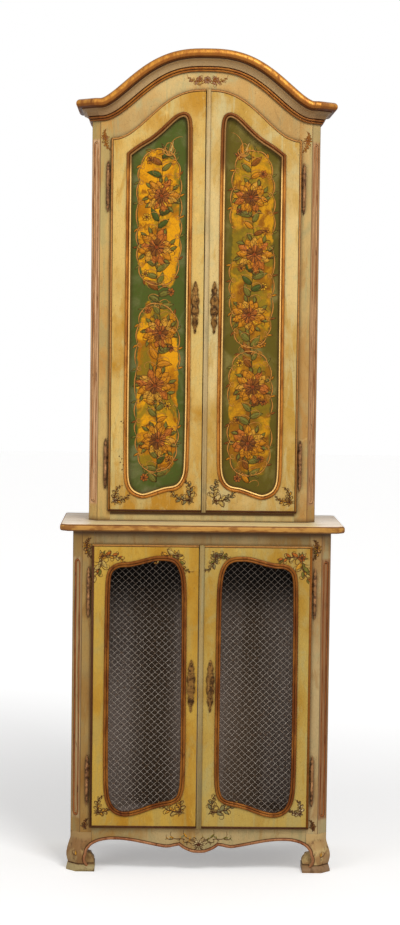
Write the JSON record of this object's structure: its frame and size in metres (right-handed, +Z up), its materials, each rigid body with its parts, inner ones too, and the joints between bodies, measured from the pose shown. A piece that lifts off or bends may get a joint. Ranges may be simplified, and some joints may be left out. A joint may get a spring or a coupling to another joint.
{
  "type": "two-part cupboard",
  "caption": "Tall painted cupboard: a base with wire-grille doors and a waist top carries a narrower stage with panelled doors under an arched cornice.",
  "frame": {"origin": "on the floor under the middle of the waist top, which is the widest and deepest piece", "axes": "+Z up, the doors face -Y, +X to the right of someone facing the doors"},
  "size_m": [0.8, 0.38, 2.32],
  "materials": {
    "cream_lacquer": "aged satin lacquer",
    "gilding": "burnished gilding over red-brown ground",
    "green_lacquer": "varnished dark green lacquer with ochre ornament",
    "waist_paint": "worn painted top with a gilt edge",
    "bare_wood": "unfinished softwood",
    "brass": "cast and patinated",
    "hinge_metal": "dark patinated",
    "lock_iron": "dark",
    "wire": "dull drawn wire"
  },
  "bodies": {
    "cabinet": {"base_side_left": "cream_lacquer", "base_side_right": "cream_lacquer", "base_post_left": "cream_lacquer", "base_post_right": "cream_lacquer", "front_foot_left": "cream_lacquer", "front_foot_right": "cream_lacquer", "base_back": "bare_wood", "base_floor": "bare_wood", "base_top_rail": "cream_lacquer", "base_apron": "cream_lacquer", "waist_slab": "waist_paint", "upper_side_left": "cream_lacquer", "upper_side_right": "cream_lacquer", "upper_post_left": "cream_lacquer", "upper_post_right": "cream_lacquer", "upper_back": "bare_wood", "upper_floor": "cream_lacquer", "frieze": "cream_lacquer", "cornice": "gilding", "roof": "bare_wood", "shelf_lower": "bare_wood", "shelf_middle": "bare_wood", "base_hinge_left_lower_pin": "hinge_metal", "base_hinge_left_upper_pin": "hinge_metal", "base_hinge_right_lower_pin": "hinge_metal", "base_hinge_right_upper_pin": "hinge_metal", "upper_hinge_left_lower_pin": "hinge_metal", "upper_hinge_left_upper_pin": "hinge_metal", "upper_hinge_right_lower_pin": "hinge_metal", "upper_hinge_right_upper_pin": "hinge_metal"},
    "base_door_left": {"base_door_left_frame": "cream_lacquer", "base_door_left_moulding": "gilding", "base_door_left_escutcheon": "brass", "base_door_left_grille": "wire", "base_hinge_left_lower_barrel": "hinge_metal", "base_hinge_left_upper_barrel": "hinge_metal"},
    "base_door_right": {"base_door_right_frame": "cream_lacquer", "base_door_right_moulding": "gilding", "base_door_right_escutcheon": "brass", "base_door_right_grille": "wire", "base_hinge_right_lower_barrel": "hinge_metal", "base_hinge_right_upper_barrel": "hinge_metal", "base_astragal": "cream_lacquer", "base_lock_case": "lock_iron"},
    "base_bolt": {"base_lock_bolt": "lock_iron"},
    "upper_door_left": {"upper_door_left_frame": "cream_lacquer", "upper_door_left_moulding": "gilding", "upper_door_left_escutcheon": "brass", "upper_door_left_panel": "green_lacquer", "upper_hinge_left_lower_barrel": "hinge_metal", "upper_hinge_left_upper_barrel": "hinge_metal"},
    "upper_door_right": {"upper_door_right_frame": "cream_lacquer", "upper_door_right_moulding": "gilding", "upper_door_right_escutcheon": "brass", "upper_door_right_panel": "green_lacquer", "upper_hinge_right_lower_barrel": "hinge_metal", "upper_hinge_right_upper_barrel": "hinge_metal", "upper_astragal": "cream_lacquer", "upper_lock_case": "lock_iron"},
    "upper_bolt": {"upper_lock_bolt": "lock_iron"}
  },
  "joints": [
    {"name": "base_door_left_swing", "type": "hinge", "parent": "cabinet", "child": "base_door_left", "pos_m": [-0.3185, -0.1698, 0.1245], "axis": [0, 0, -1], "range_deg": [0, 110]},
    {"name": "base_door_right_swing", "type": "hinge", "parent": "cabinet", "child": "base_door_right", "pos_m": [0.3185, -0.1698, 0.1245], "axis": [0, 0, 1], "range_deg": [0, 110]},
    {"name": "base_lock_slide", "type": "slide", "parent": "base_door_right", "child": "base_bolt", "axis": [-1, 0, 0], "range_m": [0, 0.01]},
    {"name": "upper_door_left_swing", "type": "hinge", "parent": "cabinet", "child": "upper_door_left", "pos_m": [-0.277, -0.0748, 1.014], "axis": [0, 0, -1], "range_deg": [0, 110]},
    {"name": "upper_door_right_swing", "type": "hinge", "parent": "cabinet", "child": "upper_door_right", "pos_m": [0.277, -0.0748, 1.014], "axis": [0, 0, 1], "range_deg": [0, 110]},
    {"name": "upper_lock_slide", "type": "slide", "parent": "upper_door_right", "child": "upper_bolt", "axis": [-1, 0, 0], "range_m": [0, 0.01]}
  ]
}
